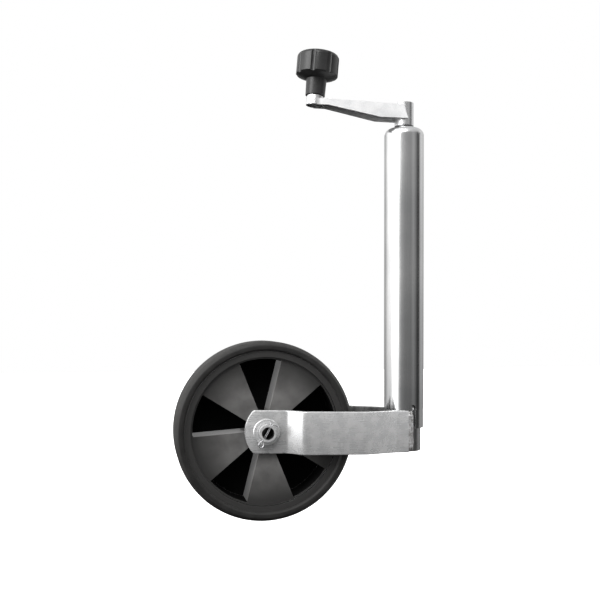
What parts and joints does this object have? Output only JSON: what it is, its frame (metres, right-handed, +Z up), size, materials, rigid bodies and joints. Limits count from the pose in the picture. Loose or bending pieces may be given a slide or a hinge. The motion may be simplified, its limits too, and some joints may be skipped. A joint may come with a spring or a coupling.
{
  "type": "trailer jockey wheel",
  "caption": "Screw-driven telescopic tube jack with a top crank and an offset forked wheel that props and steers a trailer's drawbar.",
  "frame": {"origin": "on the tube's axis, halfway up the full round wall that a drawbar clamp grips", "axes": "+Z up along the tube towards the crank, -X towards the wheel, +Y along the axle; the wheel's axle is parallel to Y"},
  "size_m": [0.3034, 0.0786, 0.5528],
  "materials": {
    "zinc_tube": "bright zinc plate, smooth, faint lengthwise draw lines",
    "zinc_leg": "zinc plate, slightly duller than the outer tube",
    "zinc_fork": "zinc plate on flat bar, soft mottled sheen",
    "zinc_crank": "bright zinc plate",
    "zinc_small": "zinc plate",
    "weld": "rippled bead under zinc plate",
    "plain_steel": "machined steel",
    "brass": "machined, satin",
    "nylon": "natural nylon",
    "rim_plastic": "moulded, fine grain, slight warm sheen",
    "tyre_rubber": "solid rubber, matt",
    "knob_plastic": "moulded, semi-matt"
  },
  "bodies": {
    "jacket": {"outer_tube": "zinc_tube", "top_plate": "plain_steel", "race_upper": "plain_steel", "guide_lower": "nylon"},
    "bearing": {"bearing_cage": "brass", "bearing_balls": "plain_steel"},
    "crank": {"spindle": "plain_steel", "spindle_collar": "plain_steel", "race_lower": "plain_steel", "crank_hub": "zinc_crank", "crank_arm": "zinc_crank", "crank_welds": "weld", "crank_pin": "plain_steel", "handle_pin": "zinc_small", "handle_washer": "zinc_small", "handle_clip": "plain_steel"},
    "handle": {"handle_knob": "knob_plastic", "knob_cap": "knob_plastic"},
    "leg": {"leg_tube": "zinc_leg", "guide_upper": "nylon", "spindle_nut": "brass", "nut_pins": "plain_steel", "fork_arm_near": "zinc_fork", "fork_arm_far": "zinc_fork", "fork_welds": "weld", "axle_tube": "zinc_small", "axle_washers": "zinc_small", "hub_spacers": "plain_steel", "split_pins": "plain_steel"},
    "wheel": {"wheel_rim": "rim_plastic", "tyre": "tyre_rubber", "hub_bushes": "nylon"}
  },
  "joints": [
    {"name": "crank_turn", "type": "hinge", "parent": "jacket", "child": "crank", "pos_m": [0, 0, 0], "axis": [0, 0, 1], "range_deg": [-18000, 0]},
    {"name": "leg_slide", "type": "slide", "parent": "jacket", "child": "leg", "axis": [0, 0, -1], "range_m": [0, 0.2]},
    {"name": "bearing_turn", "type": "hinge", "parent": "jacket", "child": "bearing", "pos_m": [0, 0, 0], "axis": [0, 0, 1], "range_deg": [-9000, 0]},
    {"name": "wheel_spin", "type": "hinge", "parent": "leg", "child": "wheel", "pos_m": [-0.1745, 0, -0.1876], "axis": [0, 1, 0], "continuous": true},
    {"name": "knob_spin", "type": "hinge", "parent": "crank", "child": "handle", "pos_m": [-0.1115, 0, 0.2083], "axis": [0.0872, 0, 0.9962], "continuous": true}
  ],
  "couplings": [
    {"joint": "leg_slide", "follows": "crank_turn", "m_per_rad": -0.00063662},
    {"joint": "bearing_turn", "follows": "crank_turn", "ratio": 0.5}
  ]
}
